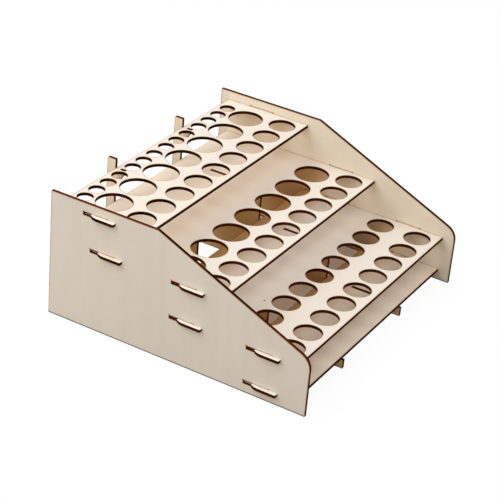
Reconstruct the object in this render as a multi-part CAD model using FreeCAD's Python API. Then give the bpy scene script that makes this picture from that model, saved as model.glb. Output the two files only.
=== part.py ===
import FreeCAD, Part
import math
import os

# Knock-down desktop rack for paint bottles and brushes, cut from sheet plywood.
#
# Eight flat pieces: two side panels, two inner ribs and four shelves.  Hooked tabs on the
# shelf ends pass through slots in the side panels, and lock when the panels slide to the
# rear.  The ribs stand on the table and carry the shelves on steps, each with a tab that
# comes up flush through a slit in its shelf.
#
# Frame: millimetres, +X to the right, +Y to the rear, +Z up, with the origin on the table in
# the middle of the footprint.  Pieces are drawn with Y measured from the side panels' front
# edges, and moved to that origin when they are written.

Vector = FreeCAD.Vector

# ---- Sheet and bay ----
SHEET = 3.0  # thickness of every piece

# ---- Tiers: shelves are numbered from the bottom, 0 to 3 ----
FLOOR_CLEARANCE = 9.0  # table to the underside of the bottom shelf
TIER_RISE = 35.0  # from one shelf up to the next
FRONT_SETBACK = 12.0  # side panel's front to the front edge of the two lowest shelves

# ---- Side panels ----
RIM_HEIGHT = 9.0  # the panel's top above the top shelf's surface
KNEE_LEAD = 12.5  # the flat top ends this far ahead of the top shelf
FRONT_CORNER_RADIUS = 15.0

# ---- Inner ribs ----
FOOT_LEAD = 2.0  # the foot shows this far ahead of the bottom shelf
RISER_LEAD = 1.0  # a riser stands this far ahead of the front edge of the tier above it
COLUMN_WIDTH = 9.0  # rear column, which rises behind the two upper shelves
COLUMN_CORNER_RADIUS = 1.0
GUSSET_REACH = 10.4  # bracket under the rear of the top shelf
GUSSET_DROP = 16.0
TOP_TAB_LENGTH = 5.0

# ---- Hooked tabs and their slots ----
TAB_LENGTH = 25.0
HOOK_LENGTH = 9.0  # the part of a tab that hooks over the panel
TAB_PROUD = 4.0  # tab end beyond the panel's outer face
TAB_FRONT_RADIUS = 1.2
TAB_NOSE_LENGTH = 7.0  # rounded lead-in at the tab's rear
TAB_NOSE_DROP = 2.4
SLOT_SETBACK = 25.0  # slot's front end behind the front edge of its tier
REAR_SLOT_SETBACK = 32.0  # rear slot of shelf 2, behind the top tier's front edge
TOP_SLOT_SETBACK = 40.6  # slot of the top shelf, behind its front edge

# ---- Clearances ----
END_GAP = 0.2  # tab in its slot, at each end
FACE_GAP = 0.1  # sheet in a slot or against a shoulder, on each face
BUTT_GAP = 0.3  # rear edge of a shelf to the rib behind it

# ---- Holes: diameter, number in a row, and the wood left between neighbours ----
MEDIUM_DIAMETER = 26.0
MEDIUM_COUNT = 9
MEDIUM_WEB = 4.4
LARGE_DIAMETER = 33.8
LARGE_COUNT = 7
LARGE_WEB = 3.5
BRUSH_DIAMETER = 15.0
BRUSH_INNER_COUNT = 3  # on each side, from the middle to the rib
BRUSH_OUTER_COUNT = 4  # on each side, from the rib to the side panel
BRUSH_WEB = 2.7
BRUSH_MIDDLE_WEB = 4.8  # between the two middle brush holes
BRUSH_SLIT_WEB = 1.6  # between a brush hole and a rib's slit beside it

# ---- Wood left around and between the rows ----
FRONT_WEB = 6.0  # front edge of a shelf to its first row
END_WEB = 5.4  # widest row to the side panel
LOWER_ROWS_WEB = 13.6  # between the two medium rows of the lower shelf
MEDIUM_LARGE_WEB = 6.1
LARGE_BRUSH_WEB = 1.6
TIER_WEB = 7.1  # large row to the front edge of the tier above
REAR_WEB = 3.2  # brush row to the rear edge of the top shelf

# ---- Derived: rows, as the holes' middle line behind the front edge of the shelf ----
NEAR_ROW = FRONT_WEB + MEDIUM_DIAMETER / 2
LOWER_REAR_ROW = NEAR_ROW + MEDIUM_DIAMETER + LOWER_ROWS_WEB
LARGE_ROW = NEAR_ROW + MEDIUM_DIAMETER / 2 + MEDIUM_LARGE_WEB + LARGE_DIAMETER / 2
BRUSH_ROW = LARGE_ROW + LARGE_DIAMETER / 2 + LARGE_BRUSH_WEB + BRUSH_DIAMETER / 2

# ---- Derived: holes and ribs across the rack ----
MEDIUM_PITCH = MEDIUM_DIAMETER + MEDIUM_WEB
LARGE_PITCH = LARGE_DIAMETER + LARGE_WEB
BRUSH_PITCH = BRUSH_DIAMETER + BRUSH_WEB
SLOT_WIDTH = SHEET + 2 * FACE_GAP  # of a panel slot or a shelf slit
BRUSH_TO_RIB = BRUSH_DIAMETER / 2 + BRUSH_SLIT_WEB + SLOT_WIDTH / 2
BRUSH_INNER_X = (BRUSH_MIDDLE_WEB + BRUSH_DIAMETER) / 2
RIB_X = BRUSH_INNER_X + (BRUSH_INNER_COUNT - 1) * BRUSH_PITCH + BRUSH_TO_RIB
BRUSH_OUTER_X = RIB_X + BRUSH_TO_RIB
MEDIUM_SPAN = MEDIUM_COUNT * MEDIUM_PITCH - MEDIUM_WEB
LARGE_SPAN = LARGE_COUNT * LARGE_PITCH - LARGE_WEB
BRUSH_SPAN = 2 * (BRUSH_OUTER_X + (BRUSH_OUTER_COUNT - 1) * BRUSH_PITCH) + BRUSH_DIAMETER
BAY_WIDTH = max(MEDIUM_SPAN, LARGE_SPAN, BRUSH_SPAN) + 2 * END_WEB
SHOULDER_X = BAY_WIDTH / 2 - FACE_GAP

# ---- Derived: shelves from front to rear, numbered from the bottom ----
BOTTOM, LOWER, MIDDLE, TOP = range(4)
SHELF_NAMES = ("bottom_shelf", "lower_shelf", "middle_shelf", "top_shelf")
TIER_STEP = LARGE_ROW + LARGE_DIAMETER / 2 + TIER_WEB
TOP_DEPTH = BRUSH_ROW + BRUSH_DIAMETER / 2 + REAR_WEB
COLUMN_FRONT = FRONT_SETBACK + (TOP - 1) * TIER_STEP + TOP_DEPTH + BUTT_GAP
PANEL_DEPTH = COLUMN_FRONT + COLUMN_WIDTH


def underside(level):
    """Height of the underside of a shelf above the table."""
    return FLOOR_CLEARANCE + level * TIER_RISE


def front(level):
    """Front edge of a shelf.  The bottom shelf is the floor of the first tier."""
    return FRONT_SETBACK + max(level - 1, 0) * TIER_STEP


def riser(level):
    """Rib edge that a shelf butts against at its rear."""
    if level < MIDDLE:
        return front(level + 2) - RISER_LEAD
    return COLUMN_FRONT


def slot_fronts(level):
    """Front ends of the slots for a shelf's hooked tabs, from front to rear."""
    if level == TOP:
        return [front(TOP) + TOP_SLOT_SETBACK]
    if level == MIDDLE:
        return [front(MIDDLE) + SLOT_SETBACK, front(TOP) + REAR_SLOT_SETBACK]
    if level == LOWER:
        return [front(LOWER) + SLOT_SETBACK, front(MIDDLE) + SLOT_SETBACK]
    return [front(BOTTOM) + SLOT_SETBACK]


def rib_tab(level):
    """Front end and length of the tab that a rib sends up through a shelf."""
    if level == TOP:
        return COLUMN_FRONT - GUSSET_REACH, TOP_TAB_LENGTH
    return slot_fronts(level)[-1] + END_GAP, TAB_LENGTH


PANEL_HEIGHT = underside(TOP) + SHEET + RIM_HEIGHT


def arc(start, middle, end):
    """Edge along the arc through three points."""
    return Part.Arc(start, middle, end).toShape()


def outline(edges):
    """Flat face inside a closed run of edges."""
    return Part.Face(Part.Wire(edges))


def polyline(points):
    """Straight edges through the points, in order."""
    return [Part.makeLine(a, b) for a, b in zip(points, points[1:])]


def corner_arc(corner, before, after, radius):
    """Start, middle and end of the arc that rounds a corner of an outline."""
    to_before = (before - corner).normalize()
    to_after = (after - corner).normalize()
    half_angle = to_before.getAngle(to_after) / 2
    reach = radius / math.tan(half_angle)
    inward = (to_before + to_after).normalize()
    return (
        corner + to_before * reach,
        corner + inward * (radius / math.sin(half_angle) - radius),
        corner + to_after * reach,
    )


def side_panel(side):
    """Side panel with six slots.  side is -1 for the left and +1 for the right."""
    inner = side * BAY_WIDTH / 2
    x = min(inner, inner + side * SHEET)
    knee = Vector(x, front(TOP) - KNEE_LEAD, PANEL_HEIGHT)
    slope = TIER_RISE / TIER_STEP
    brow = Vector(x, 0, PANEL_HEIGHT - slope * knee.y)
    toe = Vector(x, 0, 0)
    start, middle, end = corner_arc(brow, knee, toe, FRONT_CORNER_RADIUS)
    heel = Vector(x, PANEL_DEPTH, 0)
    crown = Vector(x, PANEL_DEPTH, PANEL_HEIGHT)
    edges = [arc(start, middle, end)] + polyline([end, toe, heel, crown, knee, start])
    panel = outline(edges).extrude(Vector(SHEET, 0, 0))
    slot_length = TAB_LENGTH + 2 * END_GAP
    for level in range(len(SHELF_NAMES)):
        for slot in slot_fronts(level):
            corner = Vector(x - SHEET, slot, underside(level) - FACE_GAP)
            panel = panel.cut(Part.makeBox(3 * SHEET, slot_length, SLOT_WIDTH, corner))
    return panel


def hooked_tab(side, slot, height):
    """Shelf tab whose front part lies outside the panel, over the slot's front end."""
    rear = slot + END_GAP + TAB_LENGTH - HOOK_LENGTH
    tip = rear - TAB_LENGTH
    neck = slot + END_GAP
    hook_x = BAY_WIDTH / 2 + SHEET + FACE_GAP
    end_x = BAY_WIDTH / 2 + SHEET + TAB_PROUD
    root_x = SHOULDER_X - SHEET

    def at(x, y):
        return Vector(side * x, y, height)

    corner = corner_arc(at(end_x, tip), at(hook_x, tip), at(end_x, rear), TAB_FRONT_RADIUS)
    nose_start = at(end_x, rear - TAB_NOSE_LENGTH)
    nose_end = at(end_x - TAB_NOSE_DROP, rear)
    # a quarter of the drop at half the length makes the lead-in bow outwards
    nose_middle = at(end_x - TAB_NOSE_DROP / 4, rear - TAB_NOSE_LENGTH / 2)
    inside = [nose_end, at(root_x, rear), at(root_x, neck), at(hook_x, neck), at(hook_x, tip)]
    edges = polyline(inside + [corner[0]]) + [arc(*corner)]
    edges += polyline([corner[2], nose_start]) + [arc(nose_start, nose_middle, nose_end)]
    return outline(edges).extrude(Vector(0, 0, SHEET))


def row_places(count, pitch):
    """X of the holes of an evenly pitched row."""
    return [(i - (count - 1) / 2) * pitch for i in range(count)]


def brush_places():
    """X of the brush holes, which leave room for the ribs' tabs."""
    inner = [BRUSH_INNER_X + i * BRUSH_PITCH for i in range(BRUSH_INNER_COUNT)]
    outer = [BRUSH_OUTER_X + i * BRUSH_PITCH for i in range(BRUSH_OUTER_COUNT)]
    right = inner + outer
    return [-x for x in reversed(right)] + right


def hole_rows(level):
    """Rows of holes in a shelf: (distance from its front edge, X places, diameter)."""
    medium = row_places(MEDIUM_COUNT, MEDIUM_PITCH)
    large = row_places(LARGE_COUNT, LARGE_PITCH)
    if level == BOTTOM:
        return []
    if level == LOWER:
        return [(NEAR_ROW, medium, MEDIUM_DIAMETER), (LOWER_REAR_ROW, medium, MEDIUM_DIAMETER)]
    rows = [(NEAR_ROW, medium, MEDIUM_DIAMETER), (LARGE_ROW, large, LARGE_DIAMETER)]
    if level == TOP:
        rows.append((BRUSH_ROW, brush_places(), BRUSH_DIAMETER))
    return rows


def shelf(level):
    """Shelf with its hooked tabs, bottle and brush holes, and slits for the ribs' tabs."""
    height = underside(level)
    depth = riser(level) - BUTT_GAP - front(level)
    corner = Vector(-SHOULDER_X, front(level), height)
    board = Part.makeBox(2 * SHOULDER_X, depth, SHEET, corner)
    tabs = [hooked_tab(side, slot, height) for side in (-1, 1) for slot in slot_fronts(level)]
    board = board.multiFuse(tabs).removeSplitter()
    cutters = []
    for setback, places, diameter in hole_rows(level):
        for x in places:
            centre = Vector(x, front(level) + setback, height - SHEET)
            cutters.append(Part.makeCylinder(diameter / 2, 3 * SHEET, centre))
    tab_front, tab_length = rib_tab(level)
    slit_length = tab_length + 2 * END_GAP
    for x in (-RIB_X, RIB_X):
        corner = Vector(x - SLOT_WIDTH / 2, tab_front - END_GAP, height - SHEET)
        cutters.append(Part.makeBox(SLOT_WIDTH, slit_length, 3 * SHEET, corner))
    return board.cut(cutters)


def rib(side):
    """Stepped rib on the table, with a step and a flush tab for each shelf."""
    x = side * RIB_X - SHEET / 2
    foot = front(BOTTOM) - FOOT_LEAD
    points = [(foot, 0), (foot, underside(BOTTOM))]
    for level in range(len(SHELF_NAMES)):
        ledge = underside(level)
        tab_front, tab_length = rib_tab(level)
        tab_rear = tab_front + tab_length
        if level == TOP:
            points.append((COLUMN_FRONT, ledge - GUSSET_DROP))
        points += [(tab_front, ledge), (tab_front, ledge + SHEET)]
        points += [(tab_rear, ledge + SHEET), (tab_rear, ledge), (riser(level), ledge)]
        if level < MIDDLE:
            points.append((riser(level), underside(level + 1)))
    crown = Vector(x, COLUMN_FRONT, PANEL_HEIGHT)
    heel = Vector(x, PANEL_DEPTH, 0)
    rear = Vector(x, PANEL_DEPTH, PANEL_HEIGHT)
    vertices = [Vector(x, y, z) for y, z in points]
    ahead = corner_arc(crown, vertices[-1], rear, COLUMN_CORNER_RADIUS)
    behind = corner_arc(rear, crown, heel, COLUMN_CORNER_RADIUS)
    edges = polyline(vertices + [ahead[0]]) + [arc(*ahead)]
    edges += polyline([ahead[2], behind[0]]) + [arc(*behind)]
    edges += polyline([behind[2], heel, vertices[0]])
    return outline(edges).extrude(Vector(SHEET, 0, 0))


def pieces():
    """Every piece of the rack by name."""
    parts = {
        "left_side_panel": side_panel(-1),
        "right_side_panel": side_panel(1),
        "left_inner_rib": rib(-1),
        "right_inner_rib": rib(1),
    }
    for level, name in enumerate(SHELF_NAMES):
        parts[name] = shelf(level)
    return parts


os.makedirs("parts", exist_ok=True)
for name, piece in pieces().items():
    placed = piece.translated(Vector(0, -PANEL_DEPTH / 2, 0))
    solids = placed.Solids
    if len(solids) != 1 or not placed.isValid():
        raise RuntimeError(name + " is not one valid solid")
    solids[0].exportStep("parts/" + name + ".step")
    box = solids[0].BoundBox
    print(f"{name}: {box.XLength:.1f} x {box.YLength:.1f} x {box.ZLength:.1f} mm")
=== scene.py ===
"""Looks for a knock-down plywood rack that holds paint bottles and brushes.

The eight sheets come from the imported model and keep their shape.  This script gives each of
them a laser-cut birch plywood finish whose veneer, scorched rims and charred walls follow
the sheet's own cuts, and builds the studio round the rack.
"""
import logging
import math
from dataclasses import dataclass, field, replace
from enum import Enum
from typing import Any, Dict, List, Optional, Sequence, Tuple, Union

import bmesh
import bpy
from mathutils import Matrix, Vector


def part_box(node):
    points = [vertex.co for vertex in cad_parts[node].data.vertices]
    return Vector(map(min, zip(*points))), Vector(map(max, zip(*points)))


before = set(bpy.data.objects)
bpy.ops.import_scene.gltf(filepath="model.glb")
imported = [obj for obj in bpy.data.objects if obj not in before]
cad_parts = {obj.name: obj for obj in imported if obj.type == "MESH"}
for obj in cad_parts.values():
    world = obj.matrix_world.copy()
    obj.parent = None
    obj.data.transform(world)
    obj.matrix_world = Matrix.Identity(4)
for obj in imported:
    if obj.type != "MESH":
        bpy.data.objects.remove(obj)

log = logging.getLogger("rack")

MM = 0.001  # the sheets' sizes are written in millimetres
WHITE = (1.0, 1.0, 1.0)
MIX_FACTOR, MIX_A, MIX_B = 0, 6, 7  # a Mix node's inputs for colours
MIX_RESULT = 2  # its output for a colour
NOISE_MIDDLE = 0.5

Point = Tuple[float, float]
Triple = Tuple[float, float, float]
Colour = Triple


# ---------------------------------------------------------------------------------------
# Sizes
# ---------------------------------------------------------------------------------------


@dataclass(frozen=True)
class RackSizes:
    """Sizes that several sheets share, in millimetres."""

    sheet: float = 3.0
    tab_length: float = 25.0
    hook_length: float = 9.0
    end_gap: float = 0.2  # at each end of a tab in its slot
    face_gap: float = 0.1  # at each face of a tab in its slot
    butt_gap: float = 0.3  # from a shelf's back edge to the ribs' step behind it
    half_bay: float = 140.0  # from the middle to a side panel's inner face
    rib_x: float = 56.0  # from the middle to a rib's middle

    @property
    def slot_length(self) -> float:
        """Length of a slot for a tab."""
        return self.tab_length + 2 * self.end_gap

    @property
    def slot_width(self) -> float:
        """Width of a slot for a tab."""
        return self.sheet + 2 * self.face_gap


SIZES = RackSizes()


def corners(node: str) -> Tuple[Vector, Vector]:
    """Return a sheet's lowest and highest corners in millimetres."""
    low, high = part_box(node)
    return low / MM, high / MM


# ---------------------------------------------------------------------------------------
# Shader maths
# ---------------------------------------------------------------------------------------


class Signal:
    """A socket or a constant in a shader tree, with Python's operators on it."""

    def __init__(self, graph: "Graph", source: Any, is_vector: bool = False) -> None:
        """Wrap a source.

        Args:
            graph: The tree that new nodes go into.
            source: An output socket, a number, or a tuple for a vector.
            is_vector: Whether the source holds three numbers.
        """
        self.graph = graph
        self.source = source
        self.is_vector = is_vector

    def _apply(self, operation: str, *others: "Operand") -> "Signal":
        """Return the result of a Math or Vector Math operation on this signal."""
        return self.graph.math(operation, self, *others)

    def __add__(self, other: "Operand") -> "Signal":
        """Return self + other."""
        return self._apply("ADD", other)

    def __radd__(self, other: "Operand") -> "Signal":
        """Return other + self."""
        return self._apply("ADD", other)

    def __sub__(self, other: "Operand") -> "Signal":
        """Return self - other."""
        return self._apply("SUBTRACT", other)

    def __rsub__(self, other: "Operand") -> "Signal":
        """Return other - self."""
        return self.graph.math("SUBTRACT", other, self)

    def __mul__(self, other: "Operand") -> "Signal":
        """Return self * other."""
        return self._apply("MULTIPLY", other)

    def __truediv__(self, other: "Operand") -> "Signal":
        """Return self / other."""
        return self._apply("DIVIDE", other)

    def __pow__(self, other: "Operand") -> "Signal":
        """Return self to a power."""
        return self._apply("POWER", other)

    def __neg__(self) -> "Signal":
        """Return the signal with its sign changed."""
        return self._apply("MULTIPLY", -1.0)

    def __abs__(self) -> "Signal":
        """Return the size of the signal without its sign."""
        return self._apply("ABSOLUTE")

    def least(self, other: "Operand") -> "Signal":
        """Return the smaller of the two."""
        return self._apply("MINIMUM", other)

    def most(self, other: "Operand") -> "Signal":
        """Return the larger of the two."""
        return self._apply("MAXIMUM", other)

    def ramp(self, start: float, end: float) -> "Signal":
        """Return a smooth rise from 0 at start to 1 at end, or a fall where end is lower."""
        low, high = min(start, end), max(start, end)
        node = self.graph.node(
            "ShaderNodeMapRange",
            {"interpolation_type": "SMOOTHSTEP"},
            {"Value": self, "From Min": low, "From Max": high},
        )
        rise = Signal(self.graph, node.outputs["Result"])
        return rise if start < end else 1.0 - rise

    def above(self, edge: float, blur: float) -> "Signal":
        """Return 1 above an edge and 0 below it, blurred by a distance to either side."""
        return self.ramp(edge - blur, edge + blur)

    def below(self, edge: float, blur: float) -> "Signal":
        """Return 1 below an edge and 0 above it, blurred by a distance to either side."""
        return self.ramp(edge + blur, edge - blur)


Operand = Union[Signal, float, Triple]


@dataclass
class Graph:
    """Adds nodes and links to one shader tree."""

    tree: bpy.types.NodeTree

    def node(
        self,
        kind: str,
        settings: Optional[Dict[str, Any]] = None,
        inputs: Optional[Dict[Union[str, int], Any]] = None,
    ) -> bpy.types.Node:
        """Add one node.

        Args:
            kind: The node's type, such as "ShaderNodeTexNoise".
            settings: Attributes to set before the sockets.
            inputs: Values or signals for its sockets, by name or number.

        Returns:
            The new node.
        """
        node = self.tree.nodes.new(kind)
        for name, value in (settings or {}).items():
            setattr(node, name, value)
        for key, value in (inputs or {}).items():
            self.feed(node.inputs[key], value)
        return node

    def feed(self, socket: bpy.types.NodeSocket, value: Any) -> None:
        """Link a signal to a socket, or set its constant."""
        if isinstance(value, Signal):
            value = value.source
        if isinstance(value, bpy.types.NodeSocket):
            self.tree.links.new(value, socket)
        elif isinstance(value, tuple) and socket.type == "RGBA":
            socket.default_value = (*value, 1.0)
        else:
            socket.default_value = value

    def math(self, operation: str, *operands: Operand) -> Signal:
        """Add a Math node, or a Vector Math node if an operand is a vector.

        Args:
            operation: The node's operation.
            operands: Signals, numbers or tuples of three numbers.

        Returns:
            The result, a vector where the operation gives one.
        """
        if not any(self._is_wide(o) for o in operands):
            inputs = dict(enumerate(operands))
            node = self.node("ShaderNodeMath", {"operation": operation}, inputs)
            return Signal(self, node.outputs["Value"])
        wide = [o if self._is_wide(o) else self._widen(o) for o in operands]
        node = self.node("ShaderNodeVectorMath", {"operation": operation}, dict(enumerate(wide)))
        scalar = operation == "DISTANCE"
        return Signal(self, node.outputs["Value" if scalar else "Vector"], not scalar)

    @staticmethod
    def _is_wide(operand: Operand) -> bool:
        """Return whether an operand already holds three numbers."""
        return isinstance(operand, tuple) or getattr(operand, "is_vector", False)

    def _widen(self, operand: Operand) -> Operand:
        """Return a number as a vector with it in all three places."""
        if isinstance(operand, Signal):
            return self.vector(operand, operand, operand)
        return (operand, operand, operand)

    def vector(self, x: Operand, y: Operand, z: Operand) -> Signal:
        """Join three numbers into a vector."""
        node = self.node("ShaderNodeCombineXYZ", None, {"X": x, "Y": y, "Z": z})
        return Signal(self, node.outputs["Vector"], True)

    def split(self, vector: Signal) -> Tuple[Signal, Signal, Signal]:
        """Return a vector's three numbers."""
        node = self.node("ShaderNodeSeparateXYZ", None, {"Vector": vector})
        x, y, z = (Signal(self, node.outputs[axis]) for axis in "XYZ")
        return x, y, z

    def blend(self, factor: Operand, a: Operand, b: Operand) -> Signal:
        """Mix two colours.

        Args:
            factor: 0 for a, 1 for b.
            a: A colour or a signal.
            b: A colour or a signal.

        Returns:
            The mixed colour.
        """
        inputs = {MIX_FACTOR: factor, MIX_A: a, MIX_B: b}
        node = self.node("ShaderNodeMix", {"data_type": "RGBA"}, inputs)
        return Signal(self, node.outputs[MIX_RESULT], True)

    def noise(
        self, place: Signal, scale: float = 1.0, detail: float = 2.0, rough: float = 0.5
    ) -> Signal:
        """Return fractal noise of about 0 to 1 at a place."""
        node = self.node(
            "ShaderNodeTexNoise",
            {"noise_dimensions": "3D"},
            {"Vector": place, "Scale": scale, "Detail": detail, "Roughness": rough},
        )
        return Signal(self, node.outputs["Fac"])


# ---------------------------------------------------------------------------------------
# Cut lines
# ---------------------------------------------------------------------------------------


class Axis(Enum):
    """An axis of the rack's frame."""

    X = 0
    Y = 1
    Z = 2


@dataclass
class CutLines:
    """Distance on a sheet's face, in millimetres, from a point to the nearest laser cut."""

    graph: Graph
    across: Signal
    along: Signal
    nearest: Optional[Signal] = None

    def _keep(self, distance: Signal) -> None:
        """Take a distance in if it is the smallest so far."""
        self.nearest = distance if self.nearest is None else self.nearest.least(distance)

    def line(self, start: Point, end: Point) -> None:
        """Add a straight cut between two points."""
        middle = ((start[0] + end[0]) / 2, (start[1] + end[1]) / 2)
        reach = (end[0] - start[0], end[1] - start[1])
        length = math.hypot(*reach)
        way = (reach[0] / length, reach[1] / length)
        x, y = self.across - middle[0], self.along - middle[1]
        past = (abs(x * way[0] + y * way[1]) - length / 2).most(0.0)
        beside = y * way[0] - x * way[1]
        self._keep((past * past + beside * beside) ** 0.5)

    def path(self, points: Sequence[Point]) -> None:
        """Add straight cuts from point to point."""
        for start, end in zip(points, points[1:]):
            self.line(start, end)

    def box(self, low: Point, high: Point) -> None:
        """Add a rectangular cut."""
        self.path([low, (high[0], low[1]), high, (low[0], high[1]), low])

    def circle(self, centre_across: Operand, centre_along: float, radius: float) -> None:
        """Add a round cut whose centre may itself depend on the point."""
        x, y = self.across - centre_across, self.along - centre_along
        self._keep(abs((x * x + y * y) ** 0.5 - radius))

    def circle_row(
        self, first: float, pitch: float, count: int, along: float, radius: float
    ) -> None:
        """Add a row of round cuts.

        Args:
            first: Centre of the first hole, across the sheet.
            pitch: Distance from hole to hole.
            count: Number of holes.
            along: Place of the row's middle line.
            radius: Radius of the holes.
        """
        step = self.graph.math("ROUND", (self.across - first) / pitch)
        step = step.most(0.0).least(count - 1.0)
        self.circle(step * pitch + first, along, radius)


# ---------------------------------------------------------------------------------------
# Finishes
# ---------------------------------------------------------------------------------------


Fade = Tuple[Axis, float, float]  # no effect at the first place on the axis, full at the second

REAR_FADE = (Axis.Y, 115.0, 70.0)  # the open back lets light in again


@dataclass(frozen=True)
class DeepZone:
    """Part of the rack that little light reaches, where the wood looks darker and warmer.

    The zone lies where all its fades overlap.
    """

    fades: Tuple[Fade, ...]
    depth: float = 0.9

    def share(self, graph: Graph, point: Signal) -> Signal:
        """Return how much of the effect shows at a point in the rack, in millimetres."""
        places = graph.split(point)
        ramps = (places[axis.value].ramp(start, end) for axis, start, end in self.fades)
        share = next(ramps)
        for ramp in ramps:
            share = share * ramp
        return share * self.depth


@dataclass(frozen=True)
class SheetPlace:
    """How a sheet lies in the rack, which sets where its faces, plies and grain are."""

    normal: Axis
    grain: Axis
    middle: float  # of the sheet's thickness, along the normal axis
    offcut: Triple  # shifts the sheet to its own part of the veneer
    back: float = -1.0  # side of the normal axis that is painted with the back colour, as shade on the undersides
    back_shade_depth: float = 1.0  # how much of the back colour, painted darker and warmer as shade, shows
    painted_warm_light_depth: float = 0.0  # how much of the warmer, lighter painted light shows on both faces
    deep: Tuple[DeepZone, ...] = ()  # where painted shade turns the faces darker and warmer
    scorch: float = 0.22  # how strong the brown haze beside the cuts is
    ember: float = 0.06  # how much brown shows in the charred walls
    painted_top_light: float = 0.0  # how much more of it shows where a wall faces straight up, as painted light
    front_ember: float = 0.0  # how much more of it shows towards the front of the rack
    knots: Tuple[Triple, ...] = ()  # places of small dark pin knots
    contact_shade: Optional[float] = None  # height up to which the faces are painted dark, as contact shade along the table
    clean_tab: Optional[Point] = None  # rear end and height of a tab's top left unburnt
    painted_light_beyond: Optional[float] = None  # distance along X past which the tabs' tops are painted palest, as painted light

    def stretched(self, along: float, across: float, through: float) -> Triple:
        """Return scales for X, Y and Z from those along, across and through the sheet."""
        scales = {self.grain: along, self.normal: through}
        x, y, z = (scales.get(axis, across) for axis in Axis)
        return x, y, z


@dataclass(frozen=True)
class Texture:
    """Fractal noise that follows the grain, with its scales given per millimetre."""

    along: float
    across: float
    through: float = 0.0
    detail: float = 2.0
    rough: float = 0.5

    def draw(self, graph: Graph, place: SheetPlace, wood: Signal) -> Signal:
        """Return the noise at a point in the uncut sheet."""
        scales = place.stretched(self.along, self.across, self.through)
        return graph.noise(wood * scales, detail=self.detail, rough=self.rough)


# The veneer
DRIFT = Texture(0.012, 0.02)
BANDS = Texture(0.0025, 0.075, detail=3.0, rough=0.55)
CLOUD = Texture(0.008, 0.02, detail=3.0)
FIBRE = Texture(0.05, 2.6)
PORES = Texture(0.22, 3.4, detail=1.0)

# The charred walls
STREAKS = Texture(1.9, 1.9, 0.12, detail=3.0, rough=0.6)
PATCHES = Texture(0.07, 0.07, 0.2)

# How much each part adds to the relief, or takes away from it
FIBRE_RELIEF, BAND_RELIEF, PORE_RELIEF, RIM_RELIEF = 0.6, 0.2, 0.5, 0.8
STREAK_RELIEF, GLUE_RELIEF = 0.8, 0.4

# Parts of the surface's normal between which its sides are told apart
WALL_RAMP = (0.8, 0.6)
BACK_RAMP = (0.0, 0.5)
UP_RAMP = (0.94, 0.99)

TAB_TOP_RAMP = (0.6, 0.4)  # distances above or below a tab's top where unburnt wood ends


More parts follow.
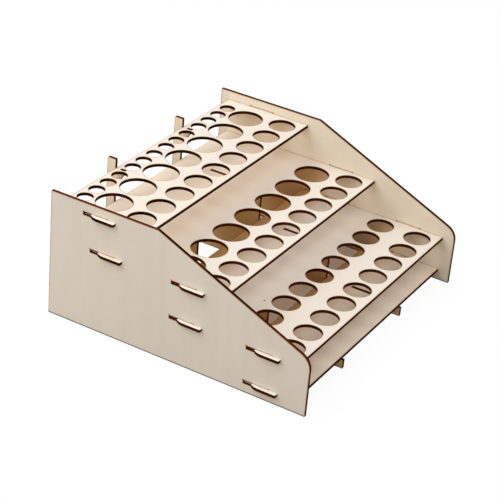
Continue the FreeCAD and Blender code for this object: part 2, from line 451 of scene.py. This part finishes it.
@dataclass(frozen=True)
class BirchPly:
    """Unfinished three-ply birch, cut by laser.

    The faces are pale veneer with a faint figure and short pores.  The cuts leave charred
    walls, with the plies just visible, and a thin scorched rim on the faces.  Lengths are
    in millimetres.
    """

    veneer: Colour = (0.867, 0.770, 0.646)
    figure: Colour = (0.75, 0.63, 0.47)
    # painted shade: colour of the back face, the shelves' undersides, darker and warmer
    back: Colour = (0.80, 0.48, 0.18)
    # painted light: colour of the tabs' tops beyond the side panels
    pale: Colour = (0.98, 0.94, 0.87)
    # painted light: warmer, lighter colour that makes the ribs look more lit
    painted_warm_light: Colour = (0.98, 0.77, 0.52)
    # painted shade: colour of the deep zones that little light reaches
    deep: Colour = (0.90, 0.57, 0.23)
    pore: Colour = (0.50, 0.36, 0.23)
    rim: Colour = (0.20, 0.052, 0.008)
    smoke: Colour = (0.82, 0.47, 0.18)
    char: Colour = (0.008, 0.0018, 0.0004)
    ember: Colour = (0.15, 0.030, 0.003)
    # painted shade: greyish dark brown of the contact shade along the table
    contact_shade_colour: Colour = (0.05, 0.038, 0.026)

    specular: float = 0.02
    face_roughness: float = 0.6
    wall_roughness: float = 0.22  # how much rougher the walls are
    relief_roughness: float = 0.12  # how much rougher the raised parts are
    bump_strength: float = 0.35
    bump_height: float = 0.08

    warp: float = 22.0  # how far the figure wanders
    band_ramp: Point = (0.42, 0.72)
    cloud_ramp: Point = (0.35, 0.75)
    pore_ramp: Point = (0.66, 0.76)
    figure_share: float = 0.16  # strength of each layer of the figure
    pore_share: float = 0.30
    painted_light_blur: float = 0.5

    rim_width: float = 0.75
    rim_share: float = 0.8
    smoke_width: float = 1.8
    fray: float = 0.5  # how far both wander
    fray_scale: float = 0.9
    knot_ramp: Point = (1.4, 0.5)
    knot_share: float = 0.95
    contact_shade_blur: float = 0.3
    contact_shade_share: float = 0.85

    streak_ramp: Point = (0.45, 0.8)
    streak_share: float = 0.4
    patch_ramp: Point = (0.4, 0.7)
    patch_share: float = 0.3
    front_ramp: Point = (-40.0, -115.0)  # from the middle of the rack to its front
    glue_width: float = 0.16
    glue_share: float = 0.5
    lip_width: float = 0.45
    lip_share: float = 0.35
    tab_blur: float = 0.2

    def dress(self, sheet: bpy.types.Object, place: SheetPlace, cuts: "CutDrawer") -> None:
        """Give a sheet this finish.

        Args:
            sheet: The sheet's object, in metres and at the origin.
            place: Where its plies and grain run.
            cuts: Draws the sheet's cut lines.
        """
        material = bpy.data.materials.new("birch_ply_" + sheet.name)
        material.use_nodes = True
        graph = Graph(material.node_tree)
        shader = material.node_tree.nodes["Principled BSDF"]
        shader.inputs["Specular IOR Level"].default_value = self.specular
        coordinates = graph.node("ShaderNodeTexCoord").outputs["Object"]
        point = Signal(graph, coordinates, True) / MM
        shifted = graph.node(
            "ShaderNodeMapping",
            {"vector_type": "POINT"},
            {"Vector": point, "Location": place.offcut},
        )
        wood = Signal(graph, shifted.outputs["Vector"], True)

        wall, back, up = self._sides(graph, place)
        face_colour, face_relief = self._face(graph, place, wood, cuts, point, back)
        wall_colour, wall_relief = self._edge(graph, place, wood, point, up)
        colour = graph.blend(wall, face_colour, wall_colour)
        graph.feed(shader.inputs["Base Color"], colour)
        roughness = self.face_roughness + wall * self.wall_roughness
        roughness = roughness + face_relief * self.relief_roughness
        graph.feed(shader.inputs["Roughness"], roughness)
        relief = face_relief * (1.0 - wall) + wall_relief * wall
        bump = graph.node(
            "ShaderNodeBump",
            None,
            {
                "Strength": self.bump_strength,
                "Distance": self.bump_height * MM,
                "Height": relief,
            },
        )
        graph.feed(shader.inputs["Normal"], Signal(graph, bump.outputs["Normal"], True))
        sheet.data.materials.clear()
        sheet.data.materials.append(material)

    @staticmethod
    def _sides(graph: Graph, place: SheetPlace) -> Tuple[Signal, Signal, Signal]:
        """Tell a sheet's sides apart.

        Args:
            graph: The material's tree.
            place: How the sheet lies.

        Returns:
            1 on the cut walls and 0 on the faces, 1 on the back face, which is painted as
            shade, and 1 where the surface faces straight up.
        """
        geometry = graph.node("ShaderNodeNewGeometry")
        normal = graph.split(Signal(graph, geometry.outputs["True Normal"], True))
        facing = normal[place.normal.value]
        wall, back = abs(facing).ramp(*WALL_RAMP), (facing * place.back).ramp(*BACK_RAMP)
        return wall, back, normal[Axis.Z.value].ramp(*UP_RAMP)

    def _face(
        self,
        graph: Graph,
        place: SheetPlace,
        wood: Signal,
        cuts: "CutDrawer",
        point: Signal,
        back: Signal,
    ) -> Tuple[Signal, Signal]:
        """Build the veneer.

        Args:
            graph: The material's tree.
            place: Where the grain runs.
            wood: The point in the uncut sheet, in millimetres.
            cuts: Draws the sheet's cut lines.
            point: The point in the rack, in millimetres.
            back: 1 on the back face, which is painted darker and warmer as shade.

        Returns:
            Its colour and its relief.
        """
        warped = wood + DRIFT.draw(graph, place, wood) * self.warp
        bands = BANDS.draw(graph, place, warped)
        cloud = CLOUD.draw(graph, place, wood)
        fibre = FIBRE.draw(graph, place, wood)
        pores = PORES.draw(graph, place, wood).ramp(*self.pore_ramp)

        figured = bands.ramp(*self.band_ramp) * self.figure_share
        figured = figured + cloud.ramp(*self.cloud_ramp) * self.figure_share
        figured = figured + (fibre - NOISE_MIDDLE) * self.figure_share
        colour = graph.blend(figured.most(0.0), self.veneer, self.figure)
        # painted light: the tabs' tops beyond the side panels are made paler
        if place.painted_light_beyond is not None:
            pale = abs(graph.split(point)[Axis.X.value])
            pale = pale.above(place.painted_light_beyond, self.painted_light_blur)
            colour = graph.blend(pale, colour, self.pale)
        # painted light: the ribs are made warmer and lighter
        colour = graph.blend(place.painted_warm_light_depth, colour, self.painted_warm_light)
        # painted shade where little light reaches
        for zone in place.deep:
            colour = graph.blend(zone.share(graph, point), colour, self.deep)
        # painted shade on the back face: the shelves' undersides turn darker and warmer
        colour = graph.blend(back * place.back_shade_depth, colour, self.back)
        colour = graph.blend(pores * self.pore_share, colour, self.pore)

        distance = self._cut_distance(graph, place, cuts, point)
        ragged = distance + (graph.noise(wood, self.fray_scale) - NOISE_MIDDLE) * self.fray
        smoke = ragged.ramp(self.smoke_width, 0.0)
        rim = ragged.ramp(self.rim_width, 0.0)
        colour = graph.blend(smoke * place.scorch, colour, self.smoke)
        colour = graph.blend(rim * self.rim_share, colour, self.rim)
        for knot in place.knots:
            spot = graph.math("DISTANCE", point, knot).ramp(*self.knot_ramp)
            colour = graph.blend(spot * self.knot_share, colour, self.rim)
        # painted contact shade: the faces darken where they meet the table
        if place.contact_shade is not None:
            contact_shade = graph.split(point)[Axis.Z.value].below(place.contact_shade, self.contact_shade_blur)
            colour = graph.blend(contact_shade * self.contact_shade_share, colour, self.contact_shade_colour)
        relief = fibre * FIBRE_RELIEF + bands * BAND_RELIEF
        return colour, relief - pores * PORE_RELIEF - rim * RIM_RELIEF

    @staticmethod
    def _cut_distance(
        graph: Graph, place: SheetPlace, cuts: "CutDrawer", point: Signal
    ) -> Signal:
        """Return the distance from a point on a face to the nearest cut, in millimetres."""
        x, y, z = graph.split(point)
        if place.normal is Axis.Z:
            lines = CutLines(graph, abs(x), y)
        else:
            lines = CutLines(graph, y, z)
        cuts.draw_cuts(lines)
        return lines.nearest

    def _edge(
        self, graph: Graph, place: SheetPlace, wood: Signal, point: Signal, up: Signal
    ) -> Tuple[Signal, Signal]:
        """Build the charred wall.

        Args:
            graph: The material's tree.
            place: Where the plies lie.
            wood: The point in the uncut sheet, in millimetres.
            point: The point in the rack, in millimetres.
            up: 1 where the wall faces straight up.

        Returns:
            Its colour and its relief.
        """
        through = graph.split(point)[place.normal.value] - place.middle
        streaks = STREAKS.draw(graph, place, wood)
        patches = PATCHES.draw(graph, place, wood)
        half, half_ply = SIZES.sheet / 2, SIZES.sheet / 6
        glue = abs(abs(through) - half_ply).ramp(self.glue_width, 0.0)
        lip = abs(through).ramp(half - self.lip_width, half)
        warmth = streaks.ramp(*self.streak_ramp) * self.streak_share
        warmth = warmth + patches.ramp(*self.patch_ramp) * self.patch_share + place.ember
        _, y, z = graph.split(point)
        warmth = warmth + y.ramp(*self.front_ramp) * place.front_ember
        # painted light: walls that face straight up turn browner and lighter
        warmth = (warmth + up * place.painted_top_light).least(1.0)
        colour = graph.blend(warmth, self.char, self.ember)
        colour = graph.blend(glue * self.glue_share, colour, self.char)
        colour = graph.blend(lip * self.lip_share, colour, self.rim)
        if place.clean_tab is not None:
            rear, height = place.clean_tab
            clean = y.below(rear, self.tab_blur) * abs(z - height).ramp(*TAB_TOP_RAMP)
            colour = graph.blend(up * clean, colour, self.veneer)
        return colour, streaks * STREAK_RELIEF - glue * GLUE_RELIEF


@dataclass(frozen=True)
class StudioPaper:
    """Matt white sweep that reads as a plain white ground and still takes soft shadows.

    The part of it under the rack glows less and is painted warmer, with a warm glow, as painted
    bounce light.  Its places are in metres.
    """

    tone: Colour = (0.46, 0.46, 0.46)
    roughness: float = 0.95
    glow: float = 1.08
    shadow_share: float = 0.12  # how much of the shadows beside the rack shows
    # painted bounce light: warm colour of the ground under the rack
    under_painted_bounce: Colour = (0.88, 0.78, 0.64)
    under_painted_glow_tint: Colour = (1.0, 0.77, 0.55)  # colour of the painted glow under the rack
    under_painted_glow: float = 0.14  # how much of the painted glow shows
    under_side: float = 0.143  # half the width of the part under the rack
    side_blur: float = 0.0025
    under_front: float = -0.06
    front_blur: float = 0.004
    under_rear: float = 0.03  # where it ends behind the middle of the rack
    rear_blur: float = 0.03
    side_rear: float = 0.10  # where it ends behind the rack's sides
    side_start: float = 0.07  # half the width of the middle
    side_fade: float = 0.05  # from the middle to the sides

    def dress(self, sweep: bpy.types.Object) -> None:
        """Give an object this finish."""
        material = bpy.data.materials.new("studio_paper")
        material.use_nodes = True
        graph = Graph(material.node_tree)
        nodes = material.node_tree.nodes
        matt = nodes["Principled BSDF"]
        matt.inputs["Roughness"].default_value = self.roughness
        matt.inputs["Specular IOR Level"].default_value = 0.0
        glow = graph.node("ShaderNodeEmission", None, {"Strength": self.glow})
        path = graph.node("ShaderNodeLightPath")
        seen = Signal(graph, path.outputs["Is Camera Ray"])
        coordinates = graph.node("ShaderNodeTexCoord").outputs["Object"]
        x, y, _ = graph.split(Signal(graph, coordinates, True))
        # where the painted bounce light lies: under the rack, reaching further back at the sides
        under = abs(x).ramp(self.under_side, self.under_side - self.side_blur)
        under = under * y.above(self.under_front, self.front_blur)
        beside = abs(x).ramp(self.side_start, self.side_start + self.side_fade)
        behind = y - beside * (self.side_rear - self.under_rear)
        under = under * behind.ramp(self.under_rear + self.rear_blur, self.under_rear)
        # painted bounce light: the ground under the rack is warmer and glows warm
        colour = graph.blend(under, self.tone, self.under_painted_bounce)
        graph.feed(matt.inputs["Base Color"], colour)
        tint = graph.blend(under, WHITE, self.under_painted_glow_tint)
        graph.feed(glow.inputs["Color"], tint)
        share = (1.0 - under) * (1.0 - self.shadow_share) + under * self.under_painted_glow
        shaders = {0: seen * share, 1: matt.outputs["BSDF"], 2: glow.outputs["Emission"]}
        mix = graph.node("ShaderNodeMixShader", None, shaders)
        graph.feed(nodes["Material Output"].inputs["Surface"], mix.outputs["Shader"])
        sweep.data.materials.append(material)


# ---------------------------------------------------------------------------------------
# The rack's sheets
# ---------------------------------------------------------------------------------------


@dataclass
class CutDrawer:
    """A sheet of the rack that knows its own cut lines."""

    node: str
    offcut: Triple

    def place(self) -> SheetPlace:
        """Return how the sheet lies."""
        raise NotImplementedError

    def draw_cuts(self, lines: CutLines) -> None:
        """Add the sheet's cut lines."""
        raise NotImplementedError

    def build(self, finish: BirchPly) -> None:
        """Dress the sheet and report it.

        Args:
            finish: The plywood it is cut from.
        """
        finish.dress(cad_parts[self.node], self.place(), self)
        log.info("%s: laser-cut birch plywood", self.node)


@dataclass(frozen=True)
class HoleRow:
    """Round holes in one line, given for the right half of a shelf."""

    first: float
    pitch: float
    count: int
    behind_front: float
    diameter: float


MEDIUM_ROW = HoleRow(first=0.0, pitch=30.4, count=5, behind_front=19.0, diameter=26.0)
REAR_MEDIUM_ROW = replace(MEDIUM_ROW, behind_front=58.6)
LARGE_ROW = HoleRow(first=0.0, pitch=37.3, count=4, behind_front=55.0, diameter=33.8)
BRUSH_ROW = HoleRow(first=9.9, pitch=17.7, count=3, behind_front=81.0, diameter=15.0)
OUTER_BRUSH_ROW = replace(BRUSH_ROW, first=66.7, count=4)


@dataclass(frozen=True)
class ShelfLook:
    """What sets one shelf apart from the others."""

    rows: Tuple[HoleRow, ...] = ()
    rear_fade: Optional[Point] = None  # deep zone's start and end before the back edge
    rear_depth: float = 0.9
    ember: float = 0.2
    knots: Tuple[Point, ...] = ()
    clean_length: float = 0.0  # front part of the slit that has no scorched rim


SHELF_LOOKS = {
    "bottom_shelf": ShelfLook(rear_fade=(35.0, 3.0)),
    "lower_shelf": ShelfLook(
        (MEDIUM_ROW, REAR_MEDIUM_ROW), (35.0, 3.0), knots=((-69.4, -47.4),), clean_length=5.1
    ),
    "middle_shelf": ShelfLook((MEDIUM_ROW, LARGE_ROW), (100.0, 80.0), 0.13),
    "top_shelf": ShelfLook((MEDIUM_ROW, LARGE_ROW, BRUSH_ROW, OUTER_BRUSH_ROW), ember=0.0),
}
SHELVES = tuple(SHELF_LOOKS)  # names of the shelves from the bottom up
CLEAN_TAB_LENGTH = 3.5  # unburnt front part of the ribs' tabs in the lower shelf


@dataclass
class Shelf(CutDrawer):
    """Flat shelf with rows of holes, hooked tabs at its ends and slits for the ribs."""

    tabs: List[float] = field(default_factory=list)  # front of each tab's neck
    slit: Point = (0.0, 0.0)  # front and rear of the slit for a rib's tab

    @property
    def look(self) -> ShelfLook:
        """What sets this shelf apart."""
        return SHELF_LOOKS[self.node]

    def place(self) -> SheetPlace:
        """Return how the shelf lies, with its grain from side to side."""
        low, high = corners(self.node)
        deep: Tuple[DeepZone, ...] = ()
        if self.look.rear_fade is not None:
            start, end = (high.y - gap for gap in self.look.rear_fade)
            deep = (DeepZone(((Axis.Y, start, end),), self.look.rear_depth),)
        return SheetPlace(
            normal=Axis.Z,
            grain=Axis.X,
            middle=(low.z + high.z) / 2,
            offcut=self.offcut,
            deep=deep,
            ember=self.look.ember,
            knots=tuple((x, y, high.z) for x, y in self.look.knots),
            painted_light_beyond=SIZES.half_bay + SIZES.sheet,
        )

    def draw_cuts(self, lines: CutLines) -> None:
        """Add the outline up to the tabs, the slits and the holes of the right half."""
        low, high = corners(self.node)
        shoulder = SIZES.half_bay - SIZES.face_gap
        lines.line((0.0, low.y), (shoulder, low.y))
        lines.line((0.0, high.y), (shoulder, high.y))
        start = low.y
        for neck in self.tabs:
            lines.line((shoulder, start), (shoulder, neck))
            start = neck + SIZES.tab_length - SIZES.hook_length
        lines.line((shoulder, start), (shoulder, high.y))
        half = SIZES.slot_width / 2
        near, far = SIZES.rib_x - half, SIZES.rib_x + half
        clean_length = self.look.clean_length
        front, rear = self.slit[0] + clean_length, self.slit[1]
        lines.path([(near, front), (near, rear), (far, rear), (far, front)])
        if clean_length == 0.0:
            lines.line((near, front), (far, front))
        for row in self.look.rows:
            along = low.y + row.behind_front
            lines.circle_row(row.first, row.pitch, row.count, along, row.diameter / 2)


# Zones of painted shade on the side panels: shelf above, gap behind its front and depth
PANEL_ZONES = (("lower_shelf", 30.0, 0.5), ("middle_shelf", 40.0, 0.8))
# Name, place on the veneer, and brown in the walls on top, as painted light, and towards the
# front
PANEL_LOOKS = (("left_side_panel", 40.0, 0.42, 0.5), ("right_side_panel", 530.0, 0.0, 0.1))


@dataclass
class SidePanel(CutDrawer):
    """Upright panel with a sloped front and a slot for each tab."""

    slots: List[Point] = field(default_factory=list)  # front end and lower edge
    knee_y: float = 0.0  # where the flat top ends
    brow_z: float = 0.0  # height at which the slope would meet the front edge
    painted_top_light: float = 0.0
    front_ember: float = 0.0
    corner_radius: float = 15.0
    pierce_radius: float = 0.45  # of the burnt dots at the slots' upper corners
    under_fade: float = 10.0  # over which the inner face turns into painted shade below a shelf
    behind_fade: float = 35.0  # over which it does so behind the shelf's front
    contact_shade_height: float = 1.0  # height of the painted contact shade along the table

    def place(self) -> SheetPlace:
        """Return how the panel stands, with its grain upright."""
        low, high = corners(self.node)
        middle = (low.x + high.x) / 2
        inward = (Axis.X, middle, middle - math.copysign(SIZES.sheet / 2, middle))
        deep = []
        for name, front_gap, depth in PANEL_ZONES:
            shelf = corners(name)[0]
            front = shelf.y + front_gap
            under = (Axis.Z, shelf.z, shelf.z - self.under_fade)
            behind = (Axis.Y, front, front + self.behind_fade)
            deep.append(DeepZone((inward, under, behind, REAR_FADE), depth))
        return SheetPlace(
            normal=Axis.X,
            grain=Axis.Z,
            middle=middle,
            offcut=self.offcut,
            back_shade_depth=0.0,
            deep=tuple(deep),
            scorch=0.6,
            ember=0.02,
            painted_top_light=self.painted_top_light,
            front_ember=self.front_ember,
            contact_shade=self.contact_shade_height,
        )

    def draw_cuts(self, lines: CutLines) -> None:
        """Add the outline, its rounded corner and the slots."""
        low, high = corners(self.node)
        slope = math.atan2(high.z - self.brow_z, self.knee_y - low.y)
        reach = self.corner_radius * math.tan((math.pi / 2 - slope) / 2)
        centre = (low.y + self.corner_radius, self.brow_z - reach)
        top = (low.y + reach * math.cos(slope), self.brow_z + reach * math.sin(slope))
        lines.path([top, (self.knee_y, high.z), (high.y, high.z), (high.y, low.z)])
        lines.path([(high.y, low.z), (low.y, low.z), (low.y, centre[1])])
        self._draw_corner(lines, centre, top)
        for front, underside in self.slots:
            far = (front + SIZES.slot_length, underside + SIZES.slot_width)
            lines.box((front, underside), far)
            for end in (front, far[0]):
                lines.circle(end, far[1], self.pierce_radius)

    @staticmethod
    def _draw_corner(lines: CutLines, centre: Point, top: Point, pieces: int = 4) -> None:
        """Add the rounded corner, from the front edge to its top, as short straight cuts."""
        radius = math.dist(centre, top)
        first = math.pi
        last = math.atan2(top[1] - centre[1], top[0] - centre[0])
        turns = [first + (last - first) * i / pieces for i in range(pieces + 1)]
        lines.path(
            [(centre[0] + radius * math.cos(t), centre[1] + radius * math.sin(t)) for t in turns]
        )


@dataclass
class Rib(CutDrawer):
    """Stepped rib on the table that carries the shelves."""

    steps: List[Point] = field(default_factory=list)  # outline from the foot to the column
    hidden_tab: float = 0.0  # place along Y where the burnt part of a tab's top starts
    under_fade: float = 15.0  # over which the rib turns into painted shade below the middle shelf
    # painted light: how much warmer and lighter the rib is made
    painted_warm_light_depth: float = 0.7

    def place(self) -> SheetPlace:
        """Return how the rib stands, with its grain from front to rear."""
        low, high = corners(self.node)
        shelf = corners("middle_shelf")[0].z
        return SheetPlace(
            normal=Axis.X,
            grain=Axis.Y,
            middle=(low.x + high.x) / 2,
            offcut=self.offcut,
            back_shade_depth=0.0,
            painted_warm_light_depth=self.painted_warm_light_depth,
            deep=(DeepZone(((Axis.Z, shelf, shelf - self.under_fade), REAR_FADE)),),
            clean_tab=(self.hidden_tab, corners("lower_shelf")[1].z),
        )

    def draw_cuts(self, lines: CutLines) -> None:
        """Add the stepped outline and the straight back and bottom."""
        low, high = corners(self.node)
        top = [(self.steps[-1][0], high.z), (high.y, high.z)]
        lines.path([*self.steps, *top, (high.y, low.z), (low.y, low.z), self.steps[0]])


@dataclass
class Rack:
    """The whole rack: four shelves, two ribs and two side panels, in four copies of one plywood
    whose veneers are lighter or darker as painted light and shade.
    """

    finish: BirchPly = BirchPly()
    # painted light: paler, slightly lighter veneer for the lower and middle shelves
    shelf_lit_finish: BirchPly = BirchPly(veneer=(0.862, 0.79, 0.69), figure=(0.76, 0.66, 0.52))
    # painted shade: darker veneer for the top shelf
    top_shaded_finish: BirchPly = BirchPly(veneer=(0.828, 0.755, 0.66), figure=(0.73, 0.63, 0.50))
    # painted light: lighter veneer for the right panel, with a wider scorched rim
    right_lit_finish: BirchPly = BirchPly(
        veneer=(0.93, 0.822, 0.66), figure=(0.81, 0.68, 0.49), rim_width=1.1
    )
    slot_setback: float = 25.0  # from a shelf's front to its slots
    rear_slot_setback: float = 32.0  # from the top shelf's front to the one below it
    top_slot_setback: float = 40.6
    gusset_reach: float = 10.4  # how far the ribs' gussets come forward under the top shelf
    gusset_drop: float = 16.0
    top_tab_length: float = 5.0
    knee_lead: float = 12.5  # from the panels' knees back to the top shelf's front
    shelf_offcut: Point = (310.0, 170.0)  # from one shelf to the next on the veneer
    stepped_levels: int = 2  # lowest shelves, behind which the ribs step up

    def slot_fronts(self, level: int) -> List[float]:
        """Return the front ends of the slots that take a shelf's tabs."""
        fronts = [corners(name)[0].y for name in SHELVES]
        return [
            [fronts[0] + self.slot_setback],
            [fronts[1] + self.slot_setback, fronts[2] + self.slot_setback],
            [fronts[2] + self.slot_setback, fronts[3] + self.rear_slot_setback],
            [fronts[3] + self.top_slot_setback],
        ][level]

    def rib_tab(self, level: int) -> Point:
        """Return the front and rear of the rib's tab that comes up through a shelf."""
        if SHELVES[level] == "top_shelf":
            front = corners("top_shelf")[1].y + SIZES.butt_gap - self.gusset_reach
            return front, front + self.top_tab_length
        front = self.slot_fronts(level)[-1] + SIZES.end_gap
        return front, front + SIZES.tab_length

    def shelves(self) -> List[Shelf]:
        """Return the shelves from the bottom up."""
        made = []
        for level, name in enumerate(SHELVES):
            tabs = [slot + SIZES.end_gap for slot in self.slot_fronts(level)]
            front, rear = self.rib_tab(level)
            slit = (front - SIZES.end_gap, rear + SIZES.end_gap)
            along, across = self.shelf_offcut
            made.append(Shelf(name, (along * level, across * level, 0.0), tabs, slit))
        return made

    def panels(self) -> List[SidePanel]:
        """Return the left and the right side panel."""
        slots = []
        for level, name in enumerate(SHELVES):
            underside = corners(name)[0].z - SIZES.face_gap
            slots += [(front, underside) for front in self.slot_fronts(level)]
        top, middle = corners("top_shelf")[0], corners("middle_shelf")[0]
        steepness = (top.z - middle.z) / (top.y - middle.y)
        knee = top.y - self.knee_lead
        made = []
        for name, offcut, painted_top_light, front_ember in PANEL_LOOKS:
            low, high = corners(name)
            brow = high.z - steepness * (knee - low.y)
            place = (0.0, offcut, offcut)
            made.append(SidePanel(name, place, slots, knee, brow, painted_top_light, front_ember))
        return made

    def ribs(self) -> List[Rib]:
        """Return the inner ribs."""
        steps = [(corners("left_inner_rib")[0].y, corners("bottom_shelf")[0].z)]
        for level, name in enumerate(SHELVES):
            low, high = corners(name)
            riser = high.y + SIZES.butt_gap
            front, rear = self.rib_tab(level)
            if name == "top_shelf":
                steps.append((riser, low.z - self.gusset_drop))
            steps += [(front, low.z), (front, high.z), (rear, high.z), (rear, low.z)]
            steps.append((riser, low.z))
            if level < self.stepped_levels:
                steps.append((riser, corners(SHELVES[level + 1])[0].z))
        hidden = self.rib_tab(SHELVES.index("lower_shelf"))[0] + CLEAN_TAB_LENGTH
        return [
            Rib("left_inner_rib", offcut=(0.0, 730.0, 90.0), steps=steps, hidden_tab=hidden),
            Rib("right_inner_rib", offcut=(0.0, 270.0, 410.0), steps=steps, hidden_tab=hidden),
        ]

    def build(self) -> None:
        """Dress every sheet."""
        finishes = (self.finish, self.shelf_lit_finish, self.shelf_lit_finish, self.top_shaded_finish)
        for shelf, finish in zip(self.shelves(), finishes):
            shelf.build(finish)
        for rib in self.ribs():
            rib.build(self.finish)
        left, right = self.panels()
        left.build(self.finish)
        right.build(self.right_lit_finish)


# ---------------------------------------------------------------------------------------
# Studio
# ---------------------------------------------------------------------------------------


@dataclass(frozen=True)
class SoftLamp:
    """A square area lamp aimed at the rack."""

    name: str
    place: Triple
    size: float
    power: float
    aim: Triple = (0.0, 0.0, 0.05)

    def build(self) -> None:
        """Make the lamp."""
        data = bpy.data.lights.new(self.name, "AREA")
        data.shape = "SQUARE"
        data.size = self.size
        data.energy = self.power
        lamp = bpy.data.objects.new(self.name, data)
        bpy.context.scene.collection.objects.link(lamp)
        lamp.location = self.place
        way = Vector(self.aim) - Vector(self.place)
        lamp.rotation_euler = way.to_track_quat("-Z", "Y").to_euler()


@dataclass(frozen=True)
class Daylight:
    """Strength of the plain light that comes from each side."""

    left: float = 0.68
    right: float = 0.48
    front: float = 0.40
    rear: float = 0.44
    above: float = 0.66


@dataclass
class Studio:
    """White ground, soft daylight and two large soft lamps above."""

    paper: StudioPaper = StudioPaper()
    daylight: Daylight = Daylight()
    ground_size: float = 6.0
    ground_height: float = -0.0002  # keeps it clear of the sheets that stand on it
    lamps: Tuple[SoftLamp, ...] = (
        SoftLamp("key_lamp", (-0.6, 0.5, 1.0), size=1.0, power=7.3),
        SoftLamp("fill_lamp", (0.3, 0.5, 1.0), size=0.8, power=3.6),
    )

    def build(self) -> None:
        """Make the ground, the world and the lamps."""
        mesh = bpy.data.meshes.new("ground")
        ground = bpy.data.objects.new("ground", mesh)
        shape = bmesh.new()
        bmesh.ops.create_grid(shape, x_segments=1, y_segments=1, size=self.ground_size / 2)
        bmesh.ops.translate(shape, vec=(0.0, 0.0, self.ground_height), verts=shape.verts)
        shape.to_mesh(mesh)
        shape.free()
        bpy.context.scene.collection.objects.link(ground)
        self.paper.dress(ground)
        self._light_world()
        for lamp in self.lamps:
            lamp.build()
        log.info("studio: ground, daylight and %d lamps", len(self.lamps))

    def _light_world(self) -> None:
        """Light the rack from all round, with plain white behind it."""
        world = bpy.data.worlds.new("daylight")
        world.use_nodes = True
        bpy.context.scene.world = world
        graph = Graph(world.node_tree)
        path = graph.node("ShaderNodeLightPath")
        seen = Signal(graph, path.outputs["Is Camera Ray"])
        way = graph.node("ShaderNodeTexCoord").outputs["Generated"]
        x, y, z = graph.split(Signal(graph, way, True))
        sun = self.daylight
        sky = z.most(0.0) ** 2.0 * sun.above
        for side, strength in ((x, sun.right), (-x, sun.left), (y, sun.rear), (-y, sun.front)):
            sky = sky + side.most(0.0) ** 2.0 * strength
        back = world.node_tree.nodes["Background"]
        graph.feed(back.inputs["Color"], WHITE)
        graph.feed(back.inputs["Strength"], seen + (1.0 - seen) * sky)


@dataclass(frozen=True)
class Camera:
    """Long-lens camera to the rack's front left, above it and slightly rolled."""

    place: Triple = (-1.23208, -0.66401, 0.84598)
    right: Triple = (0.51742, -0.85206, 0.07915)
    up: Triple = (0.38837, 0.31625, 0.86554)
    lens: float = 124.37
    sensor: float = 36.0
    clip: Point = (0.05, 50.0)

    def build(self) -> None:
        """Make the camera and use it."""
        data = bpy.data.cameras.new("camera")
        data.lens = self.lens
        data.sensor_width = self.sensor
        data.clip_start, data.clip_end = self.clip
        camera = bpy.data.objects.new("camera", data)
        bpy.context.scene.collection.objects.link(camera)
        right, up = Vector(self.right).normalized(), Vector(self.up)
        up = (up - right * up.dot(right)).normalized()
        turn = Matrix((right, up, right.cross(up))).transposed().to_4x4()
        camera.matrix_world = Matrix.Translation(self.place) @ turn
        bpy.context.scene.camera = camera


def main() -> None:
    """Build the rack's looks and the studio."""
    logging.basicConfig(level=logging.INFO, format="%(name)s: %(message)s")
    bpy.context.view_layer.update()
    Rack().build()
    Studio().build()
    Camera().build()
    bpy.context.scene.view_settings.view_transform = "Standard"


if __name__ == "__main__":
    main()
